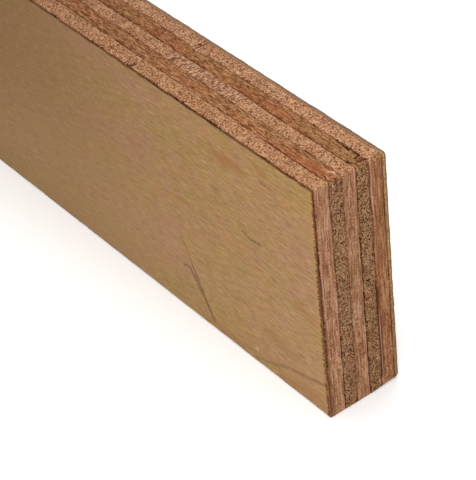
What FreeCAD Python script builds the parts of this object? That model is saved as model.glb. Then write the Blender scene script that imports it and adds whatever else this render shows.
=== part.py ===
import FreeCAD, Part
import os

# Plywood scaffold plank, standing on one long narrow edge.
# Millimetres. Origin: centre of the underside. +X towards the near end,
# -Y is the front wide face, +Z up across the plank's width.

# Overall
plank_length = 1500.0
plank_width = 120.0

# Ply thicknesses, front wide face to back wide face
front_veneer_thickness = 0.7
front_band_thickness = 7.5
front_long_thickness = 6.9
centre_band_thickness = 6.7
rear_long_thickness = 6.8
rear_band_thickness = 6.2
back_veneer_thickness = 2.0

# Glue lines: one film between each two plies, chipped back from the sawn edges
glue_thickness = 0.2
glue_setback = 0.4

# Crossband strips, laid edge to edge along the plank. The near and far strips are
# cut to these lengths and the middle ones share what is left.
front_near_strip = 124.0
front_far_strip = 156.0
front_middle_strips = 2
centre_near_strip = 410.0
centre_far_strip = 500.0
centre_middle_strips = 1
rear_near_strip = 115.0
rear_far_strip = 265.0
rear_middle_strips = 2
strip_gap = 0.3

# Wear
corner_radius = 0.8
front_arris_radius = 0.25
back_arris_radius = 0.6

near_x = plank_length / 2


def slab(x_low, x_high, y_low, thickness, z_low, z_high):
    size_x = x_high - x_low
    size_z = z_high - z_low
    corner = FreeCAD.Vector(x_low, y_low, z_low)
    return Part.makeBox(size_x, thickness, size_z, corner)


def edges_along_y(shape, x):
    found = []
    for edge in shape.Edges:
        box = edge.BoundBox
        if box.YLength > box.XLength and box.YLength > box.ZLength and abs(box.Center.x - x) < 0.01:
            found.append(edge)
    return found


def round_end(shape, x, radius):
    return shape.makeFillet(radius, edges_along_y(shape, x))


def full_layer(y_low, thickness, inset, radius):
    low = -near_x + inset
    high = near_x - inset
    layer = slab(low, high, y_low, thickness, inset, plank_width - inset)
    layer = round_end(layer, low, radius)
    return round_end(layer, high, radius)


def ease_rim(layer, y, radius):
    rim = []
    for edge in layer.Edges:
        box = edge.BoundBox
        if abs(box.YMin - y) < 0.001 and abs(box.YMax - y) < 0.001:
            rim.append(edge)
    return layer.makeFillet(radius, rim)


def make_front_veneer(y_low, thickness):
    veneer = full_layer(y_low, thickness, 0.0, corner_radius)
    return ease_rim(veneer, y_low, front_arris_radius)


def make_back_veneer(y_low, thickness):
    veneer = full_layer(y_low, thickness, 0.0, corner_radius)
    return ease_rim(veneer, y_low + thickness, back_arris_radius)


def make_long_ply(y_low, thickness):
    return full_layer(y_low, thickness, 0.0, corner_radius)


def make_glue_line(y_low):
    return full_layer(y_low, glue_thickness, glue_setback, corner_radius - glue_setback)


def strip_joints(near_strip, far_strip, middle_strips):
    first = near_x - near_strip
    last = -near_x + far_strip
    step = (first - last) / middle_strips
    joints = []
    for count in range(middle_strips + 1):
        joints.append(first - count * step)
    return joints


def make_band(y_low, thickness, near_strip, far_strip, middle_strips):
    joints = strip_joints(near_strip, far_strip, middle_strips)
    highs = [near_x]
    lows = []
    for joint in joints:
        lows.append(joint + strip_gap / 2)
        highs.append(joint - strip_gap / 2)
    lows.append(-near_x)
    strips = []
    for low, high in zip(lows, highs):
        strip = slab(low, high, y_low, thickness, 0.0, plank_width)
        if high == near_x:
            strip = round_end(strip, high, corner_radius)
        if low == -near_x:
            strip = round_end(strip, low, corner_radius)
        strips.append(strip)
    return strips


def save(name, shape):
    shape.exportStep("parts/" + name + ".step")


def save_band(name, strips):
    for count, strip in enumerate(strips):
        save(name + "_" + str(count + 1), strip)


total_thickness = 6 * glue_thickness
total_thickness += front_veneer_thickness + back_veneer_thickness
total_thickness += front_band_thickness + centre_band_thickness + rear_band_thickness
total_thickness += front_long_thickness + rear_long_thickness

front_veneer_y = -total_thickness / 2
front_band_y = front_veneer_y + front_veneer_thickness + glue_thickness
front_long_y = front_band_y + front_band_thickness + glue_thickness
centre_band_y = front_long_y + front_long_thickness + glue_thickness
rear_long_y = centre_band_y + centre_band_thickness + glue_thickness
rear_band_y = rear_long_y + rear_long_thickness + glue_thickness
back_veneer_y = rear_band_y + rear_band_thickness + glue_thickness

save("face_veneer_front", make_front_veneer(front_veneer_y, front_veneer_thickness))
save("face_veneer_back", make_back_veneer(back_veneer_y, back_veneer_thickness))
save("long_ply_front", make_long_ply(front_long_y, front_long_thickness))
save("long_ply_rear", make_long_ply(rear_long_y, rear_long_thickness))

front_band = make_band(
    front_band_y, front_band_thickness, front_near_strip, front_far_strip, front_middle_strips
)
centre_band = make_band(
    centre_band_y, centre_band_thickness, centre_near_strip, centre_far_strip, centre_middle_strips
)
rear_band = make_band(
    rear_band_y, rear_band_thickness, rear_near_strip, rear_far_strip, rear_middle_strips
)
save_band("crossband_front", front_band)
save_band("crossband_centre", centre_band)
save_band("crossband_rear", rear_band)

layers_after_glue = [
    front_band_y,
    front_long_y,
    centre_band_y,
    rear_long_y,
    rear_band_y,
    back_veneer_y,
]
for count, y in enumerate(layers_after_glue):
    save("glue_line_" + str(count + 1), make_glue_line(y - glue_thickness))
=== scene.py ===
import math

import bmesh
import bpy
from mathutils import Matrix, Vector


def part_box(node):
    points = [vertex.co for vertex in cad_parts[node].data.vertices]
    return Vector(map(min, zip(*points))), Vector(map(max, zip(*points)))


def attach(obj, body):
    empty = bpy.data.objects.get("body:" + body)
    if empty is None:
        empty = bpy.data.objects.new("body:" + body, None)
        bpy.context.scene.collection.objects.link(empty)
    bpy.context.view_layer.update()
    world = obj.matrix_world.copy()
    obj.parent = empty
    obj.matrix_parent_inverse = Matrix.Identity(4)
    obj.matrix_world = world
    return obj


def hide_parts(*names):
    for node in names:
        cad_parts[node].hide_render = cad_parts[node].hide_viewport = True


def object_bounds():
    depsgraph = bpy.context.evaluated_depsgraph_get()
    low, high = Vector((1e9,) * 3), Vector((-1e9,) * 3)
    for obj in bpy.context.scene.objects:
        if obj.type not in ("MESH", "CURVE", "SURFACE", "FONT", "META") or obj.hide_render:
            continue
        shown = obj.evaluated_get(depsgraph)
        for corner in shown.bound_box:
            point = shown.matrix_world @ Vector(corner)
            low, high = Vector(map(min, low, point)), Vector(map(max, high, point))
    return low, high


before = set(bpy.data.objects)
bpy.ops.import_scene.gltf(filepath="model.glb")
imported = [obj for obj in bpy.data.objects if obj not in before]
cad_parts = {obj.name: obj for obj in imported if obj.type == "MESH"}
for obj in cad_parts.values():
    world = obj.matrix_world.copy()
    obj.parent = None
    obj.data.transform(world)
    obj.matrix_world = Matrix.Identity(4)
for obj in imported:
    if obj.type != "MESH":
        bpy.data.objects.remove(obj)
cadLow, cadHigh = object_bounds()
halfLength = (cadHigh.x - cadLow.x) / 2
plankWidth = cadHigh.z
frontY = cadLow.y
backY = cadHigh.y
mm = 0.001


# A value that changes over a mesh or a surface. Each sign used on it adds the node that works it out.
class Field:
    def __init__(self, socket):
        self.socket = socket
        self.tree = socket.id_data

    def __add__(self, other):
        return arithmetic("ADD", self, other)

    def __radd__(self, other):
        return arithmetic("ADD", other, self)

    def __sub__(self, other):
        return arithmetic("SUBTRACT", self, other)

    def __rsub__(self, other):
        return arithmetic("SUBTRACT", other, self)

    def __mul__(self, other):
        return arithmetic("MULTIPLY", self, other)

    def __rmul__(self, other):
        return arithmetic("MULTIPLY", other, self)

    def __truediv__(self, other):
        return arithmetic("DIVIDE", self, other)

    def __rtruediv__(self, other):
        return arithmetic("DIVIDE", other, self)

    def __lt__(self, other):
        return maths("LESS_THAN", self, other)

    def __gt__(self, other):
        return maths("GREATER_THAN", self, other)

    def __abs__(self):
        return maths("ABSOLUTE", self)


def treeOf(*values):
    return next(value.tree for value in values if isinstance(value, Field))


def hasThreeParts(value):
    return isinstance(value, tuple) or isinstance(value, Field) and value.socket.type in ("VECTOR", "RGBA")


def plug(value, socket):
    if isinstance(value, Field):
        value = value.socket
    if isinstance(value, bpy.types.NodeSocket):
        socket.id_data.links.new(value, socket)
    else:
        socket.default_value = value


def addNode(tree, kind, settings=None, values=None):
    node = tree.nodes.new(kind)
    for name, value in (settings or {}).items():
        setattr(node, name, value)
    for slot, value in (values or {}).items():
        plug(value, node.inputs[slot])
    return node


def make(tree, kind, settings=None, values=None, output=0):
    return Field(addNode(tree, kind, settings, values).outputs[output])


def fieldsOf(node):
    fields = {socket.name: Field(socket) for socket in node.outputs}
    fields.update({place: Field(socket) for place, socket in enumerate(node.outputs)})
    return fields


def maths(operation, *values):
    return make(treeOf(*values), "ShaderNodeMath", {"operation": operation}, dict(enumerate(values)))


def vecMaths(operation, *values):
    output = "Value" if operation in ("LENGTH", "DISTANCE", "DOT_PRODUCT") else "Vector"
    kind = "ShaderNodeVectorMath"
    return make(treeOf(*values), kind, {"operation": operation}, dict(enumerate(values)), output)


def arithmetic(operation, first, second):
    if hasThreeParts(first) or hasThreeParts(second):
        return vecMaths(operation, first, second)
    return maths(operation, first, second)


def remap(value, low, high, toLow=0.0, toHigh=1.0, smooth=True):
    settings = {"interpolation_type": "SMOOTHSTEP" if smooth else "LINEAR"}
    values = {"Value": value, "From Min": low, "From Max": high, "To Min": toLow, "To Max": toHigh}
    return make(value.tree, "ShaderNodeMapRange", settings, values, "Result")


def split(vector):
    node = addNode(vector.tree, "ShaderNodeSeparateXYZ", None, {0: vector})
    return [Field(socket) for socket in node.outputs]


def combine(x, y, z):
    return make(treeOf(x, y, z), "ShaderNodeCombineXYZ", None, {0: x, 1: y, 2: z})


def noiseAt(where, scale, detail=2.0, w=0.0, roughness=0.5):
    values = {"Vector": where, "W": w, "Scale": scale, "Detail": detail, "Roughness": roughness}
    return make(where.tree, "ShaderNodeTexNoise", {"noise_dimensions": "4D"}, values)


def threeNoises(where, scale, detail):
    values = {"Vector": where, "Scale": scale, "Detail": detail}
    return make(where.tree, "ShaderNodeTexNoise", {"noise_dimensions": "3D"}, values, 1)


def newGroup(name, kind, inputs, outputs):
    tree = bpy.data.node_groups.new(name, kind)
    for names, direction in ((inputs, "INPUT"), (outputs, "OUTPUT")):
        for socketKind, socketNames in names.items():
            for socketName in socketNames:
                tree.interface.new_socket(socketName, in_out=direction, socket_type="NodeSocket" + socketKind)
    return tree, fieldsOf(tree.nodes.new("NodeGroupInput")), tree.nodes.new("NodeGroupOutput").inputs


def useGroup(tree, group, values):
    kind = "GeometryNodeGroup" if tree.bl_idname == "GeometryNodeTree" else "ShaderNodeGroup"
    node = tree.nodes.new(kind)
    node.node_tree = group
    for name, value in values.items():
        plug(value, node.inputs[name])
    return fieldsOf(node)


# Where each glue line wanders and how dark it shows. The plies on both sides share it.
glueLines = {
    1: {"Wave": 0.10 * mm, "Bump At": 0.626, "Bump": 0.25 * mm, "Bump Width": 3 * mm,
        "Groove": 0.70 * mm, "Top Dark": 1.1, "End Dark": 1.15, "End Shift": 0.0},
    2: {"Wave": 0.32 * mm, "Bump At": 0.631, "Bump": -0.35 * mm, "Bump Width": 5 * mm,
        "Groove": 0.50 * mm, "Top Dark": 0.75, "End Dark": 1.0, "End Shift": 0.0},
    3: {"Wave": 0.30 * mm, "Bump At": 0.560, "Bump": 0.30 * mm, "Bump Width": 9 * mm,
        "Groove": 0.45 * mm, "Top Dark": 0.85, "End Dark": 0.75, "End Shift": -0.3 * mm},
    4: {"Wave": 0.36 * mm, "Bump At": 0.700, "Bump": -0.30 * mm, "Bump Width": 8 * mm,
        "Groove": 0.75 * mm, "Top Dark": 0.75, "End Dark": 1.2, "End Shift": 0.0},
    5: {"Wave": 0.42 * mm, "Bump At": 0.636, "Bump": -1.55 * mm, "Bump Width": 5 * mm,
        "Groove": 0.55 * mm, "Top Dark": 0.70, "End Dark": 0.95, "End Shift": -0.55 * mm},
    6: {"Wave": 0.12 * mm, "Bump At": 0.500, "Bump": 0.15 * mm, "Bump Width": 9 * mm,
        "Groove": 0.50 * mm, "Top Dark": 0.12, "End Dark": 0.72, "End Shift": 0.0},
}
outerFace = {"Bump Width": 5 * mm}
glueWander = {
    "seedStep": 3.7,
    "slow": 26.0, "slowShare": 3.4,
    "quick": 330.0, "quickShare": 1.7,
    "endReach": 14 * mm,
}
lineFacts = ["Line", "Wave", "Bump At", "Bump", "Bump Width", "End Shift"]


def makeGlueWave():
    inputs = {"Vector": ["Position"], "Float": lineFacts}
    tree, given, result = newGroup("glueWave", "GeometryNodeTree", inputs, {"Float": ["Offset"]})
    flat = given["Position"] * (1.0, 0.0, 1.0)
    seed = given["Line"] * glueWander["seedStep"]
    slow = noiseAt(flat, glueWander["slow"], 1.0, seed) - 0.5
    quick = noiseAt(flat, glueWander["quick"], 2.0, seed) - 0.5
    wander = slow * glueWander["slowShare"] + quick * glueWander["quickShare"]
    x = split(given["Position"])[0]
    away = (x - given["Bump At"]) / given["Bump Width"]
    swell = maths("EXPONENT", away * away * -1.0)
    atEnd = remap(x, halfLength - glueWander["endReach"], halfLength)
    plug(wander * given["Wave"] + swell * given["Bump"] + atEnd * given["End Shift"], result["Offset"])
    return tree


# Every ply, strip and glue film is one slab with sawn, worn edges
sawnEdge = {
    "inset": 0.01 * mm,
    "ringDepth": 3 * mm,
    "alongGrain": 0.07,
    "fine": 992.0, "coarse": 310.0, "pitsShow": (0.42, 0.62), "pitShare": 0.9,
    "chip": 0.55 * mm, "chips": 170.0, "chipsShow": (0.62, 0.78), "chipReach": 5 * mm,
    "grooveWidth": 0.55 * mm, "open": 95.0, "openSeedStep": 5.3, "opens": (0.4, 0.58),
    "leastOpenTop": 0.2, "leastOpenEnd": 0.35, "shallowLow": (0.5 * mm, 5 * mm, 0.12, 1.0),
    "easing": 0.8, "easingNoise": 240.0, "easingRange": (0.3, 0.7, 0.55, 1.2),
    "jointNoise": 330.0, "jointBites": (0.48, 0.72, -0.15 * mm, 0.5 * mm),
    "jointWander": 2.6 * mm, "jointReach": 4 * mm,
}

# Splits and torn fibres in the top edge: distance from the near end, distance from the front face
splits = {
    "runs": [
        [(20.4, 29.3), (16.2, 29.1), (11.9, 28.4)],
        [(9.8, 29.1), (6.3, 29.3), (6.1, 27.8), (5.8, 26.7)],
        [(5.7, 22.8), (3.8, 23.8)],
        [(3.0, 24.6), (2.9, 27.0), (2.6, 29.3)],
        [(127.0, 1.1), (124.8, 1.6), (124.0, 3.4)],
        [(117.2, 32.6), (116.4, 33.0)],
    ],
    "width": 0.75 * mm, "depth": 1.4 * mm, "raggedness": 900.0,
    "tearFromEnd": 4.2 * mm, "tearFromFront": 12.6 * mm, "tearRadius": 5.8 * mm,
    "tearDepth": 1.0 * mm, "tearNoise": 420.0, "tearShows": (0.4, 0.62),
}


def topEdgePoints(run):
    return [(halfLength - a * mm, frontY + b * mm, plankWidth) for a, b in run]


cornerWear = {
    "topFront": 1.1 * mm, "topBack": 2.1 * mm, "low": 0.25 * mm, "lowBack": 2.2 * mm, "joint": 0.12 * mm,
}


def makePlyTree(glueWave):
    numbers = ["Low X", "High X", "Front Y", "Thickness", "Edge Inset", "Step", "Near Crowding", "Rise Finer",
               "High Is Joint", "Low Is Joint", "Rough", "Grain Along", "Piece"]
    for side in ("Front ", "Back "):
        numbers += [side + fact for fact in lineFacts + ["Groove", "Top Dark", "End Dark", "Arris"]]
    inputs = {"Geometry": ["Geometry"], "Float": numbers, "Int": ["Rows"],
              "Vector": ["Top Tint", "End Tint"], "Material": ["Material"]}
    tree, given, result = newGroup("plySlab", "GeometryNodeTree", inputs, {"Geometry": ["Geometry"]})
    halfWidth = plankWidth / 2

    # Outline, filled once and reused for the two wide faces and the walls
    length = given["High X"] - given["Low X"]
    rise = plankWidth - given["Edge Inset"] * 2.0
    outline = make(tree, "GeometryNodeCurvePrimitiveQuadrilateral", {"mode": "RECTANGLE"},
                   {"Width": length, "Height": rise * given["Rise Finer"]}, "Curve")
    outline = make(tree, "GeometryNodeResampleCurve", {"mode": "LENGTH"},
                   {"Curve": outline, "Length": given["Step"]}, "Curve")
    face = make(tree, "GeometryNodeFillCurve", {"mode": "NGONS"}, {"Curve": outline}, "Mesh")

    ring = fieldsOf(addNode(tree, "GeometryNodeExtrudeMesh", {"mode": "FACES"},
                            {"Mesh": face, "Offset Scale": 0.0, "Individual": False}))
    shrinkX = 1.0 - 2 * sawnEdge["ringDepth"] / length
    shrinkY = 1.0 - 2 * sawnEdge["ringDepth"] / rise
    local = make(tree, "GeometryNodeInputPosition")
    inner = local * combine(shrinkX, shrinkY, 1.0)
    cap = make(tree, "GeometryNodeSetPosition", None,
               {"Geometry": ring["Mesh"], "Selection": ring["Top"], "Position": inner})
    backCap = make(tree, "GeometryNodeTransform", None,
                   {"Geometry": cap, "Translation": combine(0.0, 0.0, given["Thickness"])})
    frontCap = make(tree, "GeometryNodeFlipFaces", None, {"Mesh": cap})

    rim = make(tree, "GeometryNodeDeleteGeometry", {"domain": "FACE", "mode": "ONLY_FACE"},
               {"Geometry": face})
    rowHeight = given["Thickness"] / given["Rows"]
    repeatIn = tree.nodes.new("GeometryNodeRepeatInput")
    repeatOut = tree.nodes.new("GeometryNodeRepeatOutput")
    repeatIn.pair_with_output(repeatOut)
    plug(given["Rows"], repeatIn.inputs["Iterations"])
    plug(rim, repeatIn.inputs["Geometry"])
    reached = Field(repeatIn.outputs["Iteration"]) * rowHeight - rowHeight * 0.25
    onTop = make(tree, "FunctionNodeCompare", {"operation": "GREATER_THAN"},
                 {0: split(local)[2], 1: reached})
    grown = make(tree, "GeometryNodeExtrudeMesh", {"mode": "EDGES"},
                 {"Mesh": repeatIn.outputs["Geometry"], "Selection": onTop,
                  "Offset": combine(0.0, 0.0, rowHeight), "Offset Scale": 1.0}, "Mesh")
    plug(grown, repeatOut.inputs["Geometry"])

    joined = tree.nodes.new("GeometryNodeJoinGeometry")
    for part in (frontCap, backCap, repeatOut.outputs["Geometry"]):
        plug(part, joined.inputs[0])
    slab = make(tree, "GeometryNodeMergeByDistance", None,
                {"Geometry": joined.outputs[0], "Distance": 0.002 * mm})

    # Stand the slab up and spread its rows and columns
    lx, ly, lz = split(local)
    u = 0.5 - lx / length
    crowd = given["Near Crowding"]
    spread = crowd * u + (1.0 - crowd) * u * u
    x = given["High X"] - spread * length
    z = halfWidth - ly / given["Rise Finer"]
    v = lz / given["Thickness"]
    bunch = maths("SINE", v * (2 * math.pi)) * (-0.5 / (2 * math.pi))
    y = given["Front Y"] + (v + bunch) * given["Thickness"]
    stood = make(tree, "GeometryNodeSetPosition", None, {"Geometry": slab, "Position": combine(x, y, z)})

    # From here on the fields read the slab as it stands
    place = make(tree, "GeometryNodeInputPosition")
    px, py, pz = split(place)
    fromFront = py - given["Front Y"]
    fromBack = given["Thickness"] - fromFront
    share = fromFront / given["Thickness"]

    def waveBeside(side):
        facts = {fact: given[side + fact] for fact in lineFacts}
        return useGroup(tree, glueWave, {"Position": place, **facts})[0]

    waveFront, waveBack = waveBeside("Front "), waveBeside("Back ")
    sway = waveFront * (1.0 - share) + waveBack * share

    # Corner rounding, seen from the wide face
    isTop = remap(pz, halfWidth - 5 * mm, halfWidth + 5 * mm)
    toBack = remap(py, 0.0, backY)
    topRound = cornerWear["topFront"] + toBack * (cornerWear["topBack"] - cornerWear["topFront"])
    lowRound = cornerWear["low"] + toBack * (cornerWear["lowBack"] - cornerWear["low"])
    worn = isTop * topRound + (1.0 - isTop) * lowRound
    middle = (given["High X"] + given["Low X"]) * 0.5
    nearSide = px > middle
    isJoint = nearSide * given["High Is Joint"] + (1.0 - nearSide) * given["Low Is Joint"]
    radius = isJoint * cornerWear["joint"] + (1.0 - isJoint) * worn
    floorZ = given["Edge Inset"] + radius
    roofZ = plankWidth - floorZ
    coreX = maths("MINIMUM", maths("MAXIMUM", px, given["Low X"] + radius), given["High X"] - radius)
    coreZ = maths("MINIMUM", maths("MAXIMUM", pz, floorZ), roofZ)
    core = combine(coreX, py, coreZ)
    outward = vecMaths("NORMALIZE", place - core)
    onEnd = abs(split(outward)[0])
    fromJoint = onEnd * isJoint

    # How far each point of the walls is cut back
    ax = given["Grain Along"] * (sawnEdge["alongGrain"] - 1.0) + 1.0
    az = 1.0 + sawnEdge["alongGrain"] - ax
    grained = place * combine(ax, 1.0, az)
    fine = noiseAt(grained, sawnEdge["fine"], 1.0, given["Piece"])
    coarse = noiseAt(grained, sawnEdge["coarse"], 2.0, given["Piece"])
    pitted = remap(fine, *sawnEdge["pitsShow"])
    surface = given["Rough"] * (pitted * sawnEdge["pitShare"] + coarse)
    chips = noiseAt(place, sawnEdge["chips"], 3.0, given["Piece"] + 9.0)
    chips = remap(chips, *sawnEdge["chipsShow"])
    fromEnd = halfLength - abs(px)
    fromEdge = halfWidth - abs(pz - halfWidth)
    nearCorner = remap(fromEnd + fromEdge, 0.0, sawnEdge["chipReach"], 1.0, 0.0)
    chipped = chips * nearCorner * sawnEdge["chip"]

    def openGlue(side, fromFace):
        where = place * (1.0, 0.0, 1.0)
        opening = noiseAt(where, sawnEdge["open"], 3.0, given[side + "Line"] * sawnEdge["openSeedStep"])
        opening = remap(opening, *sawnEdge["opens"])
        dark = (1.0 - onEnd) * given[side + "Top Dark"] + onEnd * given[side + "End Dark"]
        groove = remap(fromFace, 0.0, sawnEdge["grooveWidth"], 1.0, 0.0)
        groove = groove * given[side + "Groove"] * dark * (opening * 0.9 + 0.1)
        shown = maths("MAXIMUM", opening, onEnd * sawnEdge["leastOpenEnd"] + sawnEdge["leastOpenTop"])
        eased = maths("MAXIMUM", given[side + "Arris"] - fromFace, 0.0)
        return groove, shown * dark, eased

    grooveFront, darkFront, easedFront = openGlue("Front ", fromFront)
    grooveBack, darkBack, easedBack = openGlue("Back ", fromBack)
    grooves = (grooveFront + grooveBack) * remap(pz, *sawnEdge["shallowLow"])
    lineDark = maths("MAXIMUM", darkFront * (share < 0.5), darkBack * (share > 0.5))
    uneven = remap(noiseAt(place, sawnEdge["easingNoise"], 2.0, 4.0), *sawnEdge["easingRange"])
    eased = (easedFront + easedBack) * sawnEdge["easing"] * uneven

    marks = tree.nodes.new("GeometryNodeJoinGeometry")
    for run in splits["runs"]:
        points = topEdgePoints(run)
        for first, last in zip(points, points[1:]):
            line = make(tree, "GeometryNodeMeshLine", {"mode": "END_POINTS"},
                        {"Count": 2, "Start Location": first, "Offset": last})
            plug(line, marks.inputs[0])
    nearSplit = make(tree, "GeometryNodeProximity", {"target_element": "EDGES"},
                     {"Geometry": marks.outputs[0], "Sample Position": place}, "Distance")
    ragged = noiseAt(place, splits["raggedness"], 1.0, 2.0) * splits["width"] * 2.0
    splitMask = remap(nearSplit, 0.0, ragged, 1.0, 0.0)
    tearCentre = (halfLength - splits["tearFromEnd"], frontY + splits["tearFromFront"], plankWidth)
    tearRadius = splits["tearRadius"]
    tearNear = remap(vecMaths("DISTANCE", place, tearCentre), tearRadius * 0.3, tearRadius, 1.0, 0.0)
    swirl = noiseAt(place, splits["tearNoise"], 1.0, 6.0)
    tear = tearNear * remap(swirl, *splits["tearShows"]) * splits["tearDepth"]
    bites = noiseAt(place, sawnEdge["jointNoise"], 3.0, given["Piece"])
    jointRagged = fromJoint * remap(bites, *sawnEdge["jointBites"])

    depth = sawnEdge["inset"] + surface + chipped + grooves + eased
    depth = depth + jointRagged + tear + splitMask * splits["depth"]
    edge = core + outward * combine(radius - depth, 0.0, radius - depth)
    jointPlace = place * (0.02, 1.0, 1.0)
    wander = noiseAt(jointPlace, sawnEdge["jointNoise"], 3.0, 11.0) - 0.5
    toHigh = remap(given["High X"] - px, 0.0, sawnEdge["jointReach"], 1.0, 0.0)
    toLow = remap(px - given["Low X"], 0.0, sawnEdge["jointReach"], 1.0, 0.0)
    nearJoint = toHigh * given["High Is Joint"] + toLow * given["Low Is Joint"]
    slip = wander * nearJoint * sawnEdge["jointWander"]
    edge = edge + combine(slip, sway, 0.0)
    onRim = vecMaths("LENGTH", outward) > 0.5

    def keep(geometry, name, value, kind="FLOAT"):
        return make(tree, "GeometryNodeStoreNamedAttribute", {"data_type": kind, "domain": "POINT"},
                    {"Geometry": geometry, "Name": name, "Value": value})

    hasFront = given["Front Line"] > 0.5
    hasBack = given["Back Line"] < 6.5
    lineFront = fromFront + (1.0 - hasFront) * 0.01
    lineBack = fromBack + (1.0 - hasBack) * 0.01
    toLine = maths("MINIMUM", lineFront, lineBack) * 1000.0
    marked = keep(stood, "toLine", toLine + (1.0 - onRim) * 9.0)
    masks = {"onEnd": onEnd, "torn": tearNear, "lineDark": lineDark, "piece": given["Piece"]}
    for name, value in masks.items():
        marked = keep(marked, name, value)
    onEndThrice = combine(onEnd, onEnd, onEnd)
    tint = given["Top Tint"] + onEndThrice * (given["End Tint"] - given["Top Tint"])
    marked = keep(marked, "tint", tint, "FLOAT_VECTOR")
    shaped = make(tree, "GeometryNodeSetPosition", None,
                  {"Geometry": marked, "Selection": onRim, "Position": edge})
    bend = make(tree, "GeometryNodeInputMeshEdgeAngle", None, None, "Unsigned Angle")
    smoothFaces = make(tree, "GeometryNodeSetShadeSmooth", {"domain": "FACE"},
                       {0: shaped, 1: True, 2: True})
    soft = make(tree, "GeometryNodeSetShadeSmooth", {"domain": "EDGE"},
                {0: smoothFaces, 1: True, 2: bend < 0.9})
    real = make(tree, "GeometryNodeRealizeInstances", None, {0: soft})
    painted = make(tree, "GeometryNodeSetMaterial", None, {"Geometry": real, "Material": given["Material"]})
    plug(painted, result["Geometry"])
    return tree


def runTree(name, tree, values):
    start = bpy.data.objects.new(name + "Start", bpy.data.meshes.new(name + "Start"))
    bpy.context.scene.collection.objects.link(start)
    modifier = start.modifiers.new("nodes", "NODES")
    modifier.node_group = tree
    for item in tree.interface.items_tree:
        if item.item_type == "SOCKET" and item.in_out == "INPUT" and item.name in values:
            modifier[item.identifier] = values[item.name]
    graph = bpy.context.evaluated_depsgraph_get()
    mesh = bpy.data.meshes.new_from_object(start.evaluated_get(graph))
    bpy.data.objects.remove(start)
    mesh.name = name
    tidy = bmesh.new()
    tidy.from_mesh(mesh)
    bmesh.ops.recalc_face_normals(tidy, faces=tidy.faces)
    tidy.to_mesh(mesh)
    tidy.free()
    piece = bpy.data.objects.new(name, mesh)
    bpy.context.scene.collection.objects.link(piece)
    return piece


def mixColour(factor, first, second, blend="MIX"):
    settings = {"data_type": "RGBA", "blend_type": blend, "clamp_factor": True}
    values = {0: factor, 6: first, 7: second}
    return make(treeOf(factor, first, second), "ShaderNodeMix", settings, values, 2)


# Lays one colour after another, each where its mask shows it
def coated(colour, *coats):
    for mask, tone in coats:
        colour = mixColour(mask, colour, tone)
    return colour


def rgb(red, green, blue):
    def linear(value):
        value /= 255.0
        return value / 12.92 if value <= 0.04045 else ((value + 0.055) / 1.055) ** 2.4
    return (linear(red), linear(green), linear(blue), 1.0)


def objectCoords(tree):
    return make(tree, "ShaderNodeTexCoord", None, None, "Object")


def readAttribute(tree, name):
    return make(tree, "ShaderNodeAttribute", {"attribute_name": name}, None, "Fac")


woodPattern = {
    "jitter": (420.0, 1.0), "jitterReach": 1.1 * mm,
    "poreSoftness": 0.55, "largestPore": 1.25,
    "curl": (170.0, 2.0), "curlReach": 8 * mm, "curlStretch": 0.42,
    "turns": 140.0, "turnsShow": (0.47, 0.53), "threadSharpness": 9.0,
}
# Size, detail, what is added to the piece's seed, and roughness
woodNoises = {
    "Bands": (380.0, 3.0, 0.0, 0.6), "Streaks": (1350.0, 3.0, 0.0, 0.65), "Patches": (120.0, 2.0, 0.0, 0.5),
    "Hues": (170.0, 2.0, 20.0, 0.5), "Fine": (1500.0, 2.0, 0.0, 0.7),
}


def makeWoodMarks():
    inputs = {"Vector": ["Where"],
              "Float": ["Seed", "Pore Scale", "Pore Size", "Fewest Pores", "Thread Scale"]}
    outputs = {"Float": ["Pores", "Threads"] + list(woodNoises)}
    tree, given, result = newGroup("woodMarks", "ShaderNodeTree", inputs, outputs)
    seed = given["Seed"]
    shifted = given["Where"] + combine(seed, seed * 0.37, 0.0)
    bent = shifted + threeNoises(shifted, *woodPattern["jitter"]) * ((woodPattern["jitterReach"],) * 3)
    cells = fieldsOf(addNode(tree, "ShaderNodeTexVoronoi", {"voronoi_dimensions": "3D", "feature": "F1"},
                             {"Vector": bent, "Scale": given["Pore Scale"], "Randomness": 1.0}))
    chance = make(tree, "ShaderNodeSeparateColor", None, {0: cells["Color"]})
    size = remap(chance, given["Fewest Pores"], 1.0, 0.0, woodPattern["largestPore"]) * given["Pore Size"]
    plug(remap(cells["Distance"], size * woodPattern["poreSoftness"], size, 1.0, 0.0), result["Pores"])

    # short curled threads that lie one way in some patches and the other way in the rest
    curled = shifted + threeNoises(shifted, *woodPattern["curl"]) * ((woodPattern["curlReach"],) * 3)
    stretch = woodPattern["curlStretch"]
    oneWay = noiseAt(curled * (1.0, stretch, 1.0), given["Thread Scale"], 1.0, seed)
    otherWay = noiseAt(curled * (stretch, 1.0, stretch), given["Thread Scale"], 1.0, seed)
    which = remap(noiseAt(shifted, woodPattern["turns"], 1.0, seed + 5.0), *woodPattern["turnsShow"])
    worm = oneWay * which + otherWay * (1.0 - which)
    ridge = 1.0 - abs(worm - 0.5) * woodPattern["threadSharpness"]
    plug(maths("MAXIMUM", ridge, 0.0), result["Threads"])
    for name, (scale, detail, extraSeed, roughness) in woodNoises.items():
        plug(noiseAt(shifted, scale, detail, seed + extraSeed, roughness), result[name])
    return tree


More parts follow.
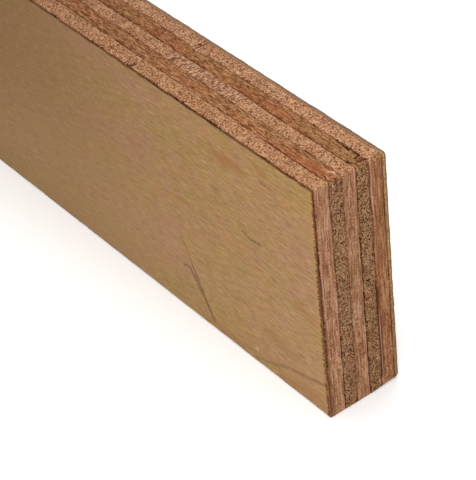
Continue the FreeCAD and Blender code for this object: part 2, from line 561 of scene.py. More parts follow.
def makeMarkStroke():
    inputs = {"Vector": ["Where", "Start", "End"], "Float": ["Width", "Dark", "So Far"]}
    tree, given, result = newGroup("markStroke", "ShaderNodeTree", inputs, {"Float": ["Mask"]})
    along = given["End"] - given["Start"]
    reach = given["Where"] - given["Start"]
    dotted = vecMaths("DOT_PRODUCT", reach, along)
    squared = vecMaths("DOT_PRODUCT", along, along)
    share = remap(dotted / squared, 0.0, 1.0, 0.0, 1.0, False)
    nearest = along * combine(share, share, share)
    gap = vecMaths("DISTANCE", reach, nearest)
    stroke = remap(gap, 0.0, given["Width"], 1.0, 0.0) * given["Dark"]
    plug(maths("MAXIMUM", stroke, given["So Far"]), result["Mask"])
    return tree


def wobbled(coords, reach, across):
    centred = threeNoises(coords, 260.0, 2.0) - (0.5, 0.5, 0.5)
    return coords + centred * tuple(reach * way for way in across)


def strokeRun(markStroke, where, points, width, dark, mask=0.0):
    for first, last in zip(points, points[1:]):
        values = {"Where": where, "Start": first, "End": last, "So Far": mask, "Width": width, "Dark": dark}
        mask = useGroup(where.tree, markStroke, values)[0]
    return mask


def stain(markStroke, where, points, facts):
    return strokeRun(markStroke, where, points, facts["width"], facts["strength"])


plyLooks = {
    "crossband": {
        "grain": (1.0, 1.0, 0.07), "longGrain": (1.0, 1.0, 0.07), "endOnX": False,
        "wander": (0.4, 0.5, 0.0), "streak": 0.75, "lowTint": (1.075, 1.11, 1.07, 1.0),
        "patches": 0.6, "hues": 0.5, "fuzz": 0.72,
        "long": rgb(168, 120, 91), "longLight": rgb(200, 156, 129), "longDark": rgb(116, 64, 33),
        "longTint": rgb(176, 116, 90), "longSecond": rgb(156, 118, 80),
        "end": rgb(166, 116, 76), "endLight": rgb(222, 176, 134), "endDark": rgb(94, 44, 10),
        "endTint": rgb(174, 108, 76), "threads": 0.82, "fineDark": 1.0,
        "threadScale": 1050.0, "evenness": 0.65, "poreScale": 900.0, "poreSize": 0.4, "fewestPores": 0.25,
        "speckleScale": 1250.0, "patchy": 0.6, "poreDark": 0.8,
        "speckle": 0.85, "lowFlecks": 0.75, "roughness": 0.72, "shine": 0.12,
    },
    "longPly": {
        "grain": (0.07, 1.0, 1.0), "longGrain": (0.18, 1.0, 1.0), "endOnX": True,
        "wander": (0.0, 1.0, 0.6), "streak": 0.87, "lowTint": (0.985, 0.98, 0.95, 1.0),
        "patches": 0.95, "hues": 0.7, "fuzz": 0.68,
        "long": rgb(154, 101, 62), "longLight": rgb(189, 139, 99), "longDark": rgb(92, 42, 11),
        "longTint": rgb(162, 88, 52), "longSecond": rgb(146, 107, 61),
        "end": rgb(114, 76, 40), "endLight": rgb(209, 171, 139), "endDark": rgb(56, 20, 2),
        "endTint": rgb(130, 83, 42), "threads": 1.0, "fineDark": 0.85,
        "threadScale": 1500.0, "evenness": 0.92, "poreScale": 1150.0, "poreSize": 0.46, "fewestPores": 0.0,
        "speckleScale": 1700.0, "patchy": 0.25, "poreDark": 1.0,
        "speckle": 0.8, "lowFlecks": 0.0, "roughness": 0.74, "shine": 0.12,
    },
}

# Colour left in the top edge: distance from the near end, distance from the front face
topStains = [
    {"points": [(27.0, 10.4), (15.0, 10.6), (5.0, 11.8)], "width": 2.2 * mm, "strength": 0.65},
    {"points": [(62.0, 25.6), (47.0, 25.0)], "width": 1.6 * mm, "strength": 0.45},
    {"points": [(104.0, 11.5), (86.0, 12.2)], "width": 1.8 * mm, "strength": 0.3},
]

# Dark strips in the sawn end of the crossbands: distance from the front face, depth below the top edge. The
# first, beside glue line 5 in the lower half, is painted shade beside the line
endStainsAndShade = [
    {"points": [(29.3, 66.0), (29.6, 84.0), (29.5, 114.0)], "width": 2.1 * mm, "strength": 1.5},
    {"points": [(0.9, 46.0), (1.2, 75.0), (1.2, 118.0)], "width": 1.1 * mm, "strength": 0.95},
    {"points": [(32.0, 3.0), (31.9, 30.0), (32.3, 56.0)], "width": 0.9 * mm, "strength": 0.5},
    {"points": [(3.4, 26.0), (2.4, 34.0), (3.6, 40.0)], "width": 1.8 * mm, "strength": 0.38},
    {"points": [(3.2, 70.0), (2.6, 80.0), (3.4, 86.0)], "width": 1.7 * mm, "strength": 0.36},
    {"points": [(16.5, 50.0), (16.2, 58.0)], "width": 1.1 * mm, "strength": 0.5},
]

# Where the saw has lifted the fibres of the centre crossband, in the same measures
liftedFibres = {"points": [(72.0, 19.3), (116.0, 18.9)], "width": 7.0 * mm, "strength": 1.4}

# The torn patch at the end of the front long ply, in the same measures
tornFibres = {
    "curls": [
        [(6.3, 13.3), (5.1, 14.1), (3.4, 15.1), (2.0, 14.5), (1.8, 13.5), (3.0, 12.5)],
        [(5.0, 11.4), (3.2, 10.7)],
        [(1.7, 15.4), (0.8, 14.2)],
    ],
    "curlWidth": 0.38 * mm,
    "spots": [
        [(5.4, 10.9), (4.4, 10.5)],
        [(2.2, 9.7), (1.0, 9.9)],
        [(1.0, 11.8), (0.4, 12.2)],
        [(4.2, 13.0), (3.4, 13.4)],
    ],
    "spotWidth": 0.9 * mm,
}


def startMaterial(name):
    material = bpy.data.materials.new(name)
    material.use_nodes = True
    tree = material.node_tree
    tree.nodes.clear()
    output = tree.nodes.new("ShaderNodeOutputMaterial")
    surface = tree.nodes.new("ShaderNodeBsdfPrincipled")
    plug(surface.outputs[0], output.inputs["Surface"])
    return material, tree, surface


def addBump(surface, height, strength, reach):
    values = {"Strength": strength, "Distance": reach, "Height": height}
    plug(addNode(height.tree, "ShaderNodeBump", None, values).outputs[0], surface.inputs["Normal"])


def setSurface(surface, colour, roughness, shine):
    plug(colour, surface.inputs["Base Color"])
    surface.inputs["Roughness"].default_value = roughness
    surface.inputs["Specular IOR Level"].default_value = shine


# Noises: size, detail, seed and roughness
plyNoises = {
    "fray": (700.0, 2.0, 3.0), "curls": (720.0, 1.0, 16.0), "fuzz": (1300.0, 2.0, 4.0, 0.6),
    "lying": (1150.0, 2.0, 3.0, 0.6), "blotches": (620.0, 2.0, 6.0), "flecks": (1000.0, 2.0, 7.0),
    "glueEdge": (850.0, 2.0, 2.0), "glueStrength": (520.0, 3.0, 1.0), "besideGlue": (260.0, 1.0, 21.0),
}
# Where each mark starts and ends, and how strongly it shows at those two places
plyShows = {
    "sawnEnd": (0.55, 0.9), "patches": (0.36, 0.64), "hues": (0.42, 0.62), "bands": (0.48, 0.3, 0.0, 0.5),
    "darkStreaks": (0.5, 0.39, 0.0), "lightStreaks": (0.5, 0.61, 0.0), "curls": (0.58, 0.66),
    "lowDown": (80 * mm, 40 * mm, 0.1), "darkFuzz": (0.5, 0.32, 0.0), "lightFuzz": (0.52, 0.7, 0.0),
    "fine": (0.54, 0.38, 0.0), "clumps": (0.38, 0.6), "lightSpeckle": (0.55, 0.68, 0.0),
    # the ramp over x below is painted shade, darker away from the near end
    "darkSpeckle": (0.45, 0.34, 0.0), "farPaintedShade": (halfLength - 0.22, halfLength - 0.05, 0.84, 1.0),
    "lowEnd": (80 * mm, 30 * mm), "atTop": (plankWidth - 9 * mm, plankWidth - 3 * mm),
    "endBands": (0.36, 0.6, 0.6, 1.0), "liftedLight": (0.54, 0.64, 0.0, 0.62),
    "liftedDark": (0.47, 0.38, 0.0, 0.8), "blotches": (0.5, 0.58, 0.0, 0.85),
    "flecks": (0.56, 0.64, 0.0, 0.8), "soaked": (0.12, 0.42, 1.0, 0.0), "glueStrength": (0.34, 0.6, 0.3, 1.1),
    "besideStarts": (0.3, 0.5), "besideEnds": (1.0, 0.7), "besideGlue": (0.5, 0.62, 0.0, 0.55),
}
plyTones = {
    "topStain": rgb(154, 80, 46), "endStainAndShade": rgb(102, 56, 32), "liftedLight": rgb(218, 184, 156),
    "liftedDark": rgb(92, 54, 38), "torn": rgb(162, 104, 70), "blotches": rgb(122, 60, 32),
    "flecks": rgb(214, 164, 128), "spots": rgb(104, 48, 24), "curls": rgb(214, 168, 134),
    "glue": rgb(74, 32, 15), "crack": rgb(62, 29, 16),
}


def makePlyMaterial(name, look, woodMarks, markStroke):
    material, tree, surface = startMaterial(name)
    coords = objectCoords(tree)
    x, _, z = split(coords)
    piece, sawn = readAttribute(tree, "piece"), readAttribute(tree, "onEnd")
    toLine, torn = readAttribute(tree, "toLine"), readAttribute(tree, "torn")

    def ramp(mark, value, *strengths):
        return remap(value, *plyShows[mark], *strengths)

    fray = (noiseAt(coords, *plyNoises["fray"]) - 0.5) * 0.9
    onEnd = ramp("sawnEnd", sawn + fray)
    endGrain = onEnd if look["endOnX"] else 1.0 - onEnd

    # wood cut along the grain
    dark, light = look["longDark"], look["longLight"]
    longWhere = wobbled(coords, 1.1 * mm, look["wander"]) * look["longGrain"]
    longPores = {"Pore Scale": 700.0, "Pore Size": 0.36, "Fewest Pores": 0.25}
    marks = useGroup(tree, woodMarks, {"Where": longWhere, "Seed": piece, **longPores})
    curls = noiseAt(coords * (1.0, 1.0, 0.6), *plyNoises["curls"])
    lowDown = ramp("lowDown", z, look["lowFlecks"])
    fuzz = noiseAt(coords, *plyNoises["fuzz"])
    longCut = coated(
        look["long"],
        (ramp("patches", marks["Patches"]) * look["patches"], look["longTint"]),
        (ramp("hues", marks["Hues"]) * look["hues"], look["longSecond"]),
        (ramp("bands", marks["Bands"]), dark),
        (ramp("darkStreaks", marks["Streaks"], look["streak"]), dark),
        (ramp("lightStreaks", marks["Streaks"], look["streak"]), light),
        (marks["Pores"] * 0.7, dark),
        (ramp("curls", curls) * lowDown, dark),
        (ramp("darkFuzz", fuzz, look["fuzz"]), dark),
        (ramp("lightFuzz", fuzz, look["fuzz"]), light),
    )

    # end grain
    dark, light = look["endDark"], look["endLight"]
    endWhere = coords * look["grain"]
    ends = useGroup(tree, woodMarks, {
        "Where": endWhere, "Seed": piece, "Pore Scale": look["poreScale"], "Pore Size": look["poreSize"],
        "Fewest Pores": look["fewestPores"], "Thread Scale": look["threadScale"]})
    clumps = ramp("clumps", ends["Hues"], look["evenness"], 1.15)
    speckle = noiseAt(coords, look["speckleScale"], 1.0, 14.0, 0.6)
    endCut = coated(
        look["end"],
        (ramp("patches", ends["Patches"]) * look["patchy"], look["endTint"]),
        (ramp("fine", ends["Fine"], look["fineDark"]), dark),
        (ends["Threads"] * clumps * look["threads"], light),
        (ends["Pores"] * look["poreDark"], dark),
        (ramp("lightSpeckle", speckle, look["speckle"]), light),
        (ramp("darkSpeckle", speckle, look["speckle"]), dark),
    )
    colour = mixColour(endGrain, longCut, endCut)

    # painted shade: the far part is darker, as the light falls off away from the near end; the foot of the
    # end has its own tone
    tone = ramp("farPaintedShade", x)
    tint = make(tree, "ShaderNodeAttribute", {"attribute_name": "tint"}, None, "Vector")
    lowTone = mixColour(ramp("lowEnd", z) * sawn, (1.0, 1.0, 1.0, 1.0), look["lowTint"])
    colour = mixColour(1.0, colour, lowTone, "MULTIPLY")
    colour = mixColour(1.0, colour, tint * combine(tone, tone, tone), "MULTIPLY")

    # stains, and fibres lifted by the saw
    flat = coords * (1.0, 1.0, 0.0) + (0.0, 0.0, plankWidth)
    atTop = ramp("atTop", z)

    if look["endOnX"]:
        loose = wobbled(flat, 4 * mm, (1.0, 0.5, 0.0))
        for facts in topStains:
            mask = stain(markStroke, loose, topEdgePoints(facts["points"]), facts) * atTop * (1.0 - endGrain)
            colour = mixColour(mask, colour, plyTones["topStain"])
    else:
        upright = wobbled(coords, 1.6 * mm, (0.0, 0.7, 1.0))
        uneven = ramp("endBands", ends["Bands"])
        # dark strips in the sawn end; the one beside glue line 5 is painted shade
        for facts in endStainsAndShade:
            points = [(halfLength, frontY + a * mm, plankWidth - b * mm) for a, b in facts["points"]]
            mask = stain(markStroke, upright, points, facts) * uneven
            colour = mixColour(mask, colour, plyTones["endStainAndShade"])
        lifted = stain(markStroke, flat, topEdgePoints(liftedFibres["points"]), liftedFibres)
        lifted = maths("MINIMUM", lifted, 1.0) * atTop
        across = wobbled(coords, 3 * mm, (1.0, 0.0, 0.0)) * (1.0, 0.26, 1.0)
        lying = noiseAt(across, *plyNoises["lying"])
        colour = coated(
            colour,
            (ramp("liftedLight", lying) * lifted, plyTones["liftedLight"]),
            (ramp("liftedDark", lying) * lifted, plyTones["liftedDark"]),
        )

    # the torn patch
    colour = coated(
        colour,
        (torn * 0.65, plyTones["torn"]),
        (ramp("blotches", noiseAt(coords, *plyNoises["blotches"])) * torn, plyTones["blotches"]),
        (ramp("flecks", noiseAt(coords, *plyNoises["flecks"])) * torn, plyTones["flecks"]),
    )
    if look["endOnX"]:
        curlPlace = wobbled(flat, 0.7 * mm, (1.0, 1.0, 0.0))
        curl, spots = 0.0, 0.0
        for run in tornFibres["curls"]:
            curl = strokeRun(markStroke, curlPlace, topEdgePoints(run), tornFibres["curlWidth"], 1.2, curl)
        for run in tornFibres["spots"]:
            spots = strokeRun(markStroke, curlPlace, topEdgePoints(run), tornFibres["spotWidth"], 1.2, spots)
        colour = coated(colour, (spots * atTop, plyTones["spots"]), (curl * atTop * 0.8, plyTones["curls"]))

    # glue soaked in beside each line, a painted highlight in a strip next to it on the sawn end, and shade
    # inside the splits
    ragged = (noiseAt(coords, *plyNoises["glueEdge"]) - 0.5) * 0.9
    soaked = ramp("soaked", toLine + ragged)
    soaked = soaked * ramp("glueStrength", noiseAt(coords, *plyNoises["glueStrength"]))
    paleHighlight = ramp("besideStarts", toLine) * ramp("besideEnds", toLine) * sawn
    paleHighlight = paleHighlight * ramp("besideGlue", noiseAt(endWhere, *plyNoises["besideGlue"]))
    crackPlace = wobbled(flat, 1.6 * mm, (1.0, 1.0, 0.0))
    crack = 0.0
    for run in splits["runs"]:
        crack = strokeRun(markStroke, crackPlace, topEdgePoints(run), splits["width"], 1.4, crack)
    colour = coated(
        colour,
        (soaked * readAttribute(tree, "lineDark"), plyTones["glue"]),
        # painted highlight beside the glue lines
        (paleHighlight * (1.0 - endGrain), look["longLight"]),
        (crack * atTop, plyTones["crack"]),
    )
    setSurface(surface, colour, look["roughness"], look["shine"])
    height = ends["Pores"] * -0.8 + ends["Fine"] * 0.7 + ends["Threads"] * 0.4
    longHeight = marks["Streaks"] * 0.8 + fuzz * 0.4
    blended = height * endGrain + longHeight * (1.0 - endGrain)
    addBump(surface, blended, 0.7, 0.4 * mm)
    return material


faceLooks = {
    "faceVeneer": {
        "base": rgb(173, 134, 88), "dark": rgb(112, 76, 44), "pink": rgb(180, 131, 104),
        "olive": rgb(165, 136, 66), "orange": rgb(184, 132, 76), "light": rgb(204, 166, 116),
        "far": rgb(140, 102, 60), "mark": rgb(98, 66, 42), "topEdge": rgb(92, 52, 26),
        "endEdge": rgb(142, 90, 56), "sawnLight": rgb(150, 104, 66), "sawnDark": 0.5,
        "lowShade": 0.7, "lowTone": rgb(160, 116, 72), "lowOutline": 0.3, "breaks": 0.5,
        "fringe": rgb(189, 140, 74), "outline": rgb(92, 52, 24), "outlineShare": 0.8,
        "glue": rgb(70, 34, 18), "side": -1.0, "roughness": 0.62, "shine": 0.15,
    },
    "backVeneer": {
        "base": rgb(170, 130, 86), "dark": rgb(108, 72, 42), "pink": rgb(176, 124, 90),
        "olive": rgb(160, 130, 72), "orange": rgb(180, 126, 72), "light": rgb(200, 160, 112),
        "far": rgb(144, 106, 68), "mark": rgb(98, 66, 42), "topEdge": rgb(176, 124, 86),
        "endEdge": rgb(162, 122, 74), "sawnLight": rgb(206, 162, 118), "sawnDark": 0.6,
        "lowShade": 0.3, "lowTone": rgb(108, 72, 42), "lowOutline": 1.0, "breaks": 0.0,
        "fringe": rgb(180, 126, 72), "outline": rgb(84, 72, 54), "outlineShare": 0.9,
        "glue": rgb(70, 34, 18), "side": 1.0, "roughness": 0.66, "shine": 0.15,
    },
}

# Thin dark marks on the front face: distance from the near end, depth below the top edge
faceMarks = [
    {"points": [(100.2, 79.5), (97.4, 81.5), (93.5, 90.6)], "width": 0.9 * mm, "dark": 0.55},
    {"points": [(93.5, 90.6), (88.9, 100.5)], "width": 1.3 * mm, "dark": 0.75},
    {"points": [(88.9, 100.5), (84.2, 109.8), (81.1, 114.6)], "width": 1.6 * mm, "dark": 0.85},
    {"points": [(99.7, 94.5), (97.6, 93.4), (95.6, 93.8)], "width": 1.5 * mm, "dark": 0.7},
    {"points": [(95.6, 93.8), (92.4, 97.7), (90.7, 101.5), (87.8, 104.6)], "width": 1.5 * mm, "dark": 0.75},
    {"points": [(51.6, 47.8), (46.1, 49.5), (38.9, 48.8)], "width": 0.9 * mm, "dark": 0.85},
    {"points": [(50.9, 117.8), (38.4, 113.9), (27.0, 108.7), (18.2, 107.0)], "width": 1.6 * mm, "dark": 0.42},
    {"points": [(18.2, 107.0), (10.4, 105.1), (1.7, 102.6)], "width": 1.6 * mm, "dark": 0.5},
    {"points": [(35.6, 13.9), (27.4, 13.9)], "width": 0.7 * mm, "dark": 0.75},
]
faceStains = [
    {"points": [(66.0, 15.7), (49.0, 14.6)], "width": 5.0 * mm, "strength": 0.75},
    {"points": [(38.0, 7.1), (30.0, 8.9)], "width": 3.0 * mm, "strength": 0.6},
    {"points": [(96.0, 55.2), (91.0, 56.0)], "width": 2.6 * mm, "strength": 0.6},
    {"points": [(18.0, 66.0), (6.0, 72.0)], "width": 5.0 * mm, "strength": 0.4},
    {"points": [(40.0, 96.0), (22.0, 99.0)], "width": 5.0 * mm, "strength": 0.45},
    {"points": [(86.0, 117.0), (60.0, 117.0)], "width": 4.0 * mm, "strength": 0.45},
    {"points": [(32.0, 118.0), (7.0, 113.0)], "width": 6.0 * mm, "strength": 0.4},
]
paleSpeck = {"points": [(50.2, 112.0), (49.0, 112.2)], "width": 0.7 * mm, "strength": 0.9}
faceMarkLook = {
    "stain": rgb(164, 110, 62), "speck": rgb(226, 204, 170),
    "wear": (900.0, 2.0, 2.0), "wearShows": (0.3, 0.6, 0.55, 1.0),
}


def wideFacePoints(run):
    return [(halfLength - a * mm, frontY, plankWidth - b * mm) for a, b in run]


def addFaceMarks(coords, colour, look, markStroke):
    loose = wobbled(coords, 7 * mm, (1.0, 0.0, 0.6))
    for facts in faceStains:
        mask = stain(markStroke, loose, wideFacePoints(facts["points"]), facts)
        colour = mixColour(mask, colour, faceMarkLook["stain"])
    where = wobbled(coords, 1.2 * mm, (1.0, 0.0, 1.0))
    mask = 0.0
    for mark in faceMarks:
        points = wideFacePoints(mark["points"])
        mask = strokeRun(markStroke, where, points, mark["width"], mark["dark"], mask)
    worn = remap(noiseAt(coords, *faceMarkLook["wear"]), *faceMarkLook["wearShows"])
    speck = stain(markStroke, coords, wideFacePoints(paleSpeck["points"]), paleSpeck)
    return coated(colour, (mask * worn, look["mark"]), (speck, faceMarkLook["speck"]))


# Noises: size, detail, seed and roughness
faceNoises = {
    "pink": (150.0, 4.0, 1.0, 0.65), "olive": (140.0, 4.0, 5.0, 0.65), "orange": (120.0, 4.0, 8.0, 0.65),
    "broad": (48.0, 2.0, 2.0), "specks": (1150.0, 2.0, 12.0, 0.6), "teeth": (1350.0, 2.0, 9.0, 0.6),
    "broken": (110.0, 3.0, 5.0),
}
# Where each mark starts and ends, and how strongly it shows at those two places
faceShows = {
    "pink": (0.46, 0.64, 0.0, 0.6), "olive": (0.46, 0.64, 0.0, 0.45), "orange": (0.5, 0.68, 0.0, 0.65),
    "calmer": (halfLength - 0.24, halfLength - 0.1, 0.45, 1.0), "broadPink": (0.5, 0.66, 0.0, 0.5),
    "broadOlive": (0.48, 0.34, 0.0, 0.35), "farShade": (halfLength - 0.26, halfLength - 0.06, 0.9, 0.0),
    "farShadeHigher": (0.0, plankWidth, 0.45, 1.05), "low": (0.7 * plankWidth, 0.15 * plankWidth, 0.0, 0.14),
    "bands": (0.46, 0.3, 0.0, 0.12), "plainer": (halfLength - 0.18, halfLength - 0.05, 0.45, 1.0),
    "dashes": (0.5, 0.36, 0.0, 0.38), "glints": (0.52, 0.66, 0.0, 0.58),
    "darkSpecks": (0.46, 0.3, 0.0, 0.3), "lightSpecks": (0.55, 0.72, 0.0, 0.36),
    "teethLower": (plankWidth, 0.5 * plankWidth, -0.05, 0.085),
    "teethReach": (0.3 * mm, 2.4 * mm, 0.1, -0.08), "teeth": (0.5, 0.56),
    "rim": (1.0 * mm, 4.0 * mm, 1.0, 0.0), "teethEnd": (1.8 * mm, 2.8 * mm, 0.9, 0.0),
    "broken": (0.42, 0.58), "nearTop": (plankWidth - 1.3 * mm, plankWidth - 0.6 * mm),
    "sawnStreaks": (0.5, 0.34, 0.0, 0.5), "sawnLight": (0.5, 0.6, 0.0, 0.6), "sawnDark": (0.48, 0.4, 0.0),
    "sawnLow": (0.7 * plankWidth, 0.25 * plankWidth, 0.0), "turned": (0.8, 0.5, 0.0, 1.0),
    "arrisStarts": (0.12, 0.4), "arrisEnds": (0.97, 0.85), "outerStrip": (-0.8 * mm, -0.3 * mm),
    "outlineLow": (0.3 * plankWidth, 0.6 * plankWidth), "soaked": (0.08, 0.5, 1.0, 0.0),
}


def makeFaceMaterial(name, look, woodMarks, markStroke):
    material, tree, surface = startMaterial(name)
    coords = objectCoords(tree)
    x, y, z = split(coords)
    sawnSide = readAttribute(tree, "onEnd")

    def ramp(mark, value, *strengths):
        return remap(value, *faceShows[mark], *strengths)

    where = coords * (0.12, 1.0, 1.0)
    pores = {"Pore Scale": 900.0, "Pore Size": 0.36, "Fewest Pores": 0.25}
    marks = useGroup(tree, woodMarks, {"Where": where, "Seed": 3.0, **pores})
    stretched = coords * (0.75, 1.0, 1.0)
    calmer = ramp("calmer", x)
    broad = noiseAt(coords * (0.35, 1.0, 1.0), *faceNoises["broad"])
    # painted shade: the face darkens away from the near end, more so towards its top, as the light falls off
    # there
    farShade = ramp("farShade", x) * ramp("farShadeHigher", z)
    plainer = ramp("plainer", x)
    specks = noiseAt(coords, *faceNoises["specks"])
    colour = look["base"]
    for hue in ("pink", "olive", "orange"):
        mask = ramp(hue, noiseAt(stretched, *faceNoises[hue]))
        colour = mixColour(mask * calmer, colour, look[hue])
    colour = coated(
        colour,
        (ramp("broadPink", broad), look["pink"]),
        (ramp("broadOlive", broad), look["olive"]),
        # painted shade far from the near end
        (farShade, look["far"]),
        (ramp("low", z), look["light"]),
        (ramp("bands", marks["Bands"]), look["dark"]),
        (ramp("dashes", marks["Streaks"]) * plainer, look["dark"]),
        (ramp("glints", marks["Streaks"]) * plainer, look["light"]),
        (marks["Pores"] * 0.22, look["dark"]),
        (ramp("darkSpecks", specks), look["dark"]),
        (ramp("lightSpecks", specks), look["light"]),
    )

    # the arris at each sawn end: torn veneer with open pores
    endwise = halfLength - abs(x)
    teeth = noiseAt(coords * (0.55, 1.0, 1.0), *faceNoises["teeth"])
    teeth = teeth + (ramp("teethReach", endwise) + ramp("teethLower", z))
    broken = ramp("broken", noiseAt(coords * (1.0, 0.0, 0.0), *faceNoises["broken"]))
    frayed = z + (specks - 0.5) * (1.6 * mm)
    colour = coated(
        colour,
        (ramp("rim", endwise) * 0.75, look["fringe"]),
        (ramp("teeth", teeth) * ramp("teethEnd", endwise), look["topEdge"]),
        (ramp("nearTop", frayed) * (broken * 0.78 + 0.14), look["outline"]),
    )
    colour = addFaceMarks(coords, colour, look, markStroke)

    # the sawn edges of the veneer, and the dark line along its worn arris
    sawn = coated(
        look["topEdge"],
        (sawnSide, look["endEdge"]),
        (ramp("sawnStreaks", marks["Streaks"]), look["dark"]),
        (ramp("sawnLight", specks), look["sawnLight"]),
        (ramp("sawnDark", specks, look["sawnDark"]), look["dark"]),
        (ramp("sawnLow", z, look["lowShade"]), look["lowTone"]),
    )
    outward = split(make(tree, "ShaderNodeNewGeometry", None, None, "Normal"))[1] * look["side"]
    turned = ramp("turned", abs(outward))
    onEdge = 1.0 - sawnSide
    stripAt = y * look["side"] + onEdge * (1.0 * mm) + frontY
    outerStrip = ramp("outerStrip", stripAt) * turned * (1.0 + onEdge * -0.22)
    outline = ramp("arrisStarts", outward) * ramp("arrisEnds", outward)
    outline = maths("MAXIMUM", outline, outerStrip) * look["outlineShare"]
    outline = outline * (1.0 - (1.0 - broken) * onEdge * look["breaks"])
    outline = outline * ramp("outlineLow", z, look["lowOutline"], 1.0)
    soaked = ramp("soaked", readAttribute(tree, "toLine")) * readAttribute(tree, "lineDark")
    colour = coated(colour, (turned, sawn), (outline, look["outline"]), (soaked, look["glue"]))
    setSurface(surface, colour, look["roughness"], look["shine"])
    height = marks["Pores"] * -0.6 + marks["Streaks"] * 0.5 + specks * 0.3
    addBump(surface, height, 0.35, 0.2 * mm)
    return material


glueLook = {
    "worn": rgb(132, 76, 46), "dark": rgb(46, 20, 12), "roughness": 0.5, "shine": 0.1,
    "uneven": (180.0, 2.0, 0.0), "unevenShows": (0.35, 0.65), "unevenShare": 0.1,
}


def makeGlueMaterial(look):
    material, tree, surface = startMaterial("glue")
    uneven = remap(noiseAt(objectCoords(tree), *look["uneven"]), *look["unevenShows"])
    dark = readAttribute(tree, "lineDark") * (1.0 - look["unevenShare"]) + uneven * look["unevenShare"]
    setSurface(surface, mixColour(dark, look["worn"], look["dark"]), look["roughness"], look["shine"])
    return material


# The pieces
glueWave = makeGlueWave()
plyTree = makePlyTree(glueWave)
woodMarks = makeWoodMarks()
markStroke = makeMarkStroke()
materials = {
    "crossband": makePlyMaterial("crossband", plyLooks["crossband"], woodMarks, markStroke),
    "long_ply": makePlyMaterial("longPly", plyLooks["longPly"], woodMarks, markStroke),
    "face_veneer": makeFaceMaterial("faceVeneer", faceLooks["faceVeneer"], woodMarks, markStroke),
    "back_veneer": makeFaceMaterial("backVeneer", faceLooks["backVeneer"], woodMarks, markStroke),
    "glue": makeGlueMaterial(glueLook),
}
print("materials made")

# By the start of the node's name: the record's slot, the glue lines before and behind, whether the grain
# runs along the plank, the rows across the thickness, and how finely the layer is cut
layers = {
    "face_veneer_front": {
        "slot": "face_veneer", "lines": (0, 1), "along": 1.0, "rows": 3, "step": 0.8 * mm, "rough": 0.32 * mm,
        "topTint": (1.0, 1.0, 1.0), "endTint": (1.0, 1.0, 1.0)},
    "crossband_front": {
        "slot": "crossband", "lines": (1, 2), "along": 0.0, "rows": 16, "step": 1.0 * mm, "rough": 0.18 * mm,
        "topTint": (0.91, 0.86, 0.81), "endTint": (0.98, 0.96, 0.93)},
    "long_ply_front": {
        "slot": "long_ply", "lines": (2, 3), "along": 1.0, "rows": 12, "step": 0.8 * mm, "rough": 0.15 * mm,
        "topTint": (0.97, 0.95, 0.9), "endTint": (0.83, 0.715, 0.59)},
    "crossband_centre": {
        "slot": "crossband", "lines": (3, 4), "along": 0.0, "rows": 13, "step": 1.0 * mm, "rough": 0.2 * mm,
        "topTint": (0.92, 0.87, 0.85), "endTint": (0.92, 0.89, 0.84)},
    "long_ply_rear": {
        "slot": "long_ply", "lines": (4, 5), "along": 1.0, "rows": 12, "step": 0.8 * mm, "rough": 0.15 * mm,
        "topTint": (0.93, 0.92, 0.87), "endTint": (0.815, 0.7, 0.54)},
    "crossband_rear": {
        "slot": "crossband", "lines": (5, 6), "along": 0.0, "rows": 13, "step": 1.0 * mm, "rough": 0.18 * mm,
        "topTint": (0.96, 0.93, 0.93), "endTint": (0.84, 0.76, 0.6)},
    "face_veneer_back": {
        "slot": "back_veneer", "lines": (6, 7), "along": 1.0, "rows": 4, "step": 0.8 * mm, "rough": 0.15 * mm,
        "topTint": (1.0, 1.0, 1.0), "endTint": (1.0, 1.0, 1.0)},
}
nearStrips = {"step": 0.42 * mm, "longerStep": 0.6 * mm, "longerThan": 0.2}
glueFilm = {"inset": 0.03 * mm, "groove": 0.5 * mm, "step": 1.3 * mm, "rough": 0.08 * mm}


def glueValues(side, line):
    facts = {"Line": float(line), **glueLines.get(line, outerFace)}
    return {side + name: value for name, value in facts.items()}


def stepFor(layer, nearStrip, length):
    if nearStrip:
        return nearStrips["step" if length < nearStrips["longerThan"] else "longerStep"]
    return layer["step"]


def finishPiece(piece, node):
    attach(piece, "root")
    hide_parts(node)


pieceNumber = 0
for prefix, layer in layers.items():
    for node in sorted(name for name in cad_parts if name.startswith(prefix)):
        pieceNumber += 1
        low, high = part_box(node)
        atNear = high.x > halfLength - mm
        atFar = low.x < -halfLength + mm
        fullLength = atNear and atFar
        nearStrip = atNear and not atFar
        values = {
            "Low X": low.x, "High X": high.x, "Front Y": low.y, "Thickness": high.y - low.y,
            "Step": stepFor(layer, nearStrip, high.x - low.x),
            "Near Crowding": 0.5 if fullLength else 1.0,
            "Rise Finer": 1.9 if fullLength else 1.0,
            "Rows": layer["rows"],
            "High Is Joint": 0.0 if atNear else 1.0, "Low Is Joint": 0.0 if atFar else 1.0,
            "Front Arris": 0.3 * mm if layer["lines"][0] == 0 else 0.0,
            "Back Arris": 0.55 * mm if layer["lines"][1] == 7 else 0.0,
            "Rough": layer["rough"], "Grain Along": layer["along"],
            "Piece": pieceNumber * 1.0, "Top Tint": layer["topTint"], "End Tint": layer["endTint"],
            "Material": materials[layer["slot"]],
        }
        values.update(glueValues("Front ", layer["lines"][0]))
        values.update(glueValues("Back ", layer["lines"][1]))
        piece = runTree(node.replace("_", "-"), plyTree, values)
        finishPiece(piece, node)
    print("layer made:", prefix)

for line in glueLines:
    node = "glue_line_" + str(line)
    low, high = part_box(node)
    values = {
        "Low X": glueFilm["inset"] - halfLength, "High X": halfLength - glueFilm["inset"],
        "Front Y": low.y, "Thickness": high.y - low.y, "Edge Inset": glueFilm["inset"],
        "Step": glueFilm["step"], "Near Crowding": 0.6, "Rise Finer": 1.3, "Rows": 1,
        "Rough": glueFilm["rough"], "Grain Along": 1.0, "Piece": 40.0 + line, "Material": materials["glue"],
    }
    values.update(glueValues("Front ", line))
    values.update(glueValues("Back ", line))
    values.update({"Front Groove": glueFilm["groove"], "Back Groove": glueFilm["groove"]})
    finishPiece(runTree("glue-line-" + str(line), plyTree, values), node)
print("glue lines made")


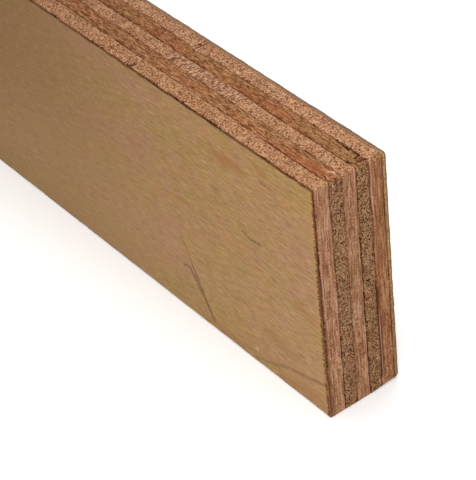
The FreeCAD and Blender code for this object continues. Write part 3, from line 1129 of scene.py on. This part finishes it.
# Floor, light and camera
lighting = {
    "world": 0.32,
    "floorLift": 0.14,
    "lamps": {
        "overhead": {"at": (0.35, 0.0, 3.0), "towards": (0.35, 0.0, 0.0), "size": 2.6, "power": 62.0},
        "behind": {"at": (-1.3, 2.2, 0.5), "towards": (0.0, 0.0, 0.06), "size": 1.2, "power": 26.0},
        "front": {"at": (1.27, -0.44, 0.36), "towards": (0.72, 0.0, 0.06), "size": 0.32, "power": 3.5},
    },
}


def seenDirectly(tree):
    rays = fieldsOf(tree.nodes.new("ShaderNodeLightPath"))
    seen = rays["Is Camera Ray"] + rays["Is Glossy Ray"] + rays["Is Transmission Ray"]
    return maths("MINIMUM", seen, 1.0)


def makeFloor():
    size = 6.0
    mesh = bpy.data.meshes.new("floor")
    corners = [(-size, -size, 0.0), (size, -size, 0.0), (size, size, 0.0), (-size, size, 0.0)]
    mesh.from_pydata(corners, [], [(0, 1, 2, 3)])
    floor = bpy.data.objects.new("floor", mesh)
    bpy.context.scene.collection.objects.link(floor)
    material, tree, surface = startMaterial("floor")
    seen = seenDirectly(tree)
    white, bounced = (1.0, 1.0, 1.0, 1.0), (0.6, 0.6, 0.6, 1.0)
    setSurface(surface, mixColour(seen, bounced, white), 0.9, 0.0)
    surface.inputs["Emission Color"].default_value = white
    lift = remap(vecMaths("LENGTH", objectCoords(tree)), 1.0, 2.6, lighting["floorLift"], 1.0)
    plug(seen * lift, surface.inputs["Emission Strength"])
    mesh.materials.append(material)


def makeWorld(strength):
    world = bpy.data.worlds.new("studio")
    bpy.context.scene.world = world
    world.use_nodes = True
    tree = world.node_tree
    tree.nodes.clear()
    output = tree.nodes.new("ShaderNodeOutputWorld")
    seen = seenDirectly(tree)
    strengthNow = seen * (1.0 - strength) + strength
    background = addNode(tree, "ShaderNodeBackground", None,
                         {"Color": (1.0, 1.0, 1.0, 1.0), "Strength": strengthNow})
    plug(background.outputs[0], output.inputs["Surface"])


def makeLamp(name, facts):
    data = bpy.data.lights.new(name, "AREA")
    data.size = facts["size"]
    data.energy = facts["power"]
    lamp = bpy.data.objects.new(name, data)
    bpy.context.scene.collection.objects.link(lamp)
    lamp.location = facts["at"]
    aim = Vector(facts["towards"]) - Vector(facts["at"])
    lamp.rotation_euler = aim.to_track_quat("-Z", "Y").to_euler()


# The camera stands off the near end's top front corner
cameraFacts = {
    "azimuth": 56.245, "elevation": 37.820, "roll": -6.423, "lens": 162.48,
    "fromCorner": (0.54430, -0.40066, 0.50466),
}


def makeCamera(facts):
    data = bpy.data.cameras.new("camera")
    data.lens = facts["lens"]
    data.sensor_width = 36.0
    data.clip_start = 0.05
    data.clip_end = 50.0
    camera = bpy.data.objects.new("camera", data)
    bpy.context.scene.collection.objects.link(camera)
    azimuth, elevation = math.radians(facts["azimuth"]), math.radians(facts["elevation"])
    back = Vector((math.sin(azimuth) * math.cos(elevation), -math.cos(azimuth) * math.cos(elevation),
                   math.sin(elevation)))
    level = back.to_track_quat("Z", "Y").to_matrix()
    turn = level @ Matrix.Rotation(math.radians(facts["roll"]), 3, "Z")
    corner = Vector((halfLength, frontY, plankWidth))
    camera.matrix_world = Matrix.Translation(corner + Vector(facts["fromCorner"])) @ turn.to_4x4()
    bpy.context.scene.camera = camera


makeFloor()
makeWorld(lighting["world"])
for lampName, lampFacts in lighting["lamps"].items():
    makeLamp(lampName, lampFacts)
makeCamera(cameraFacts)
bpy.context.scene.view_settings.view_transform = "Standard"
print("floor, lights and camera set")
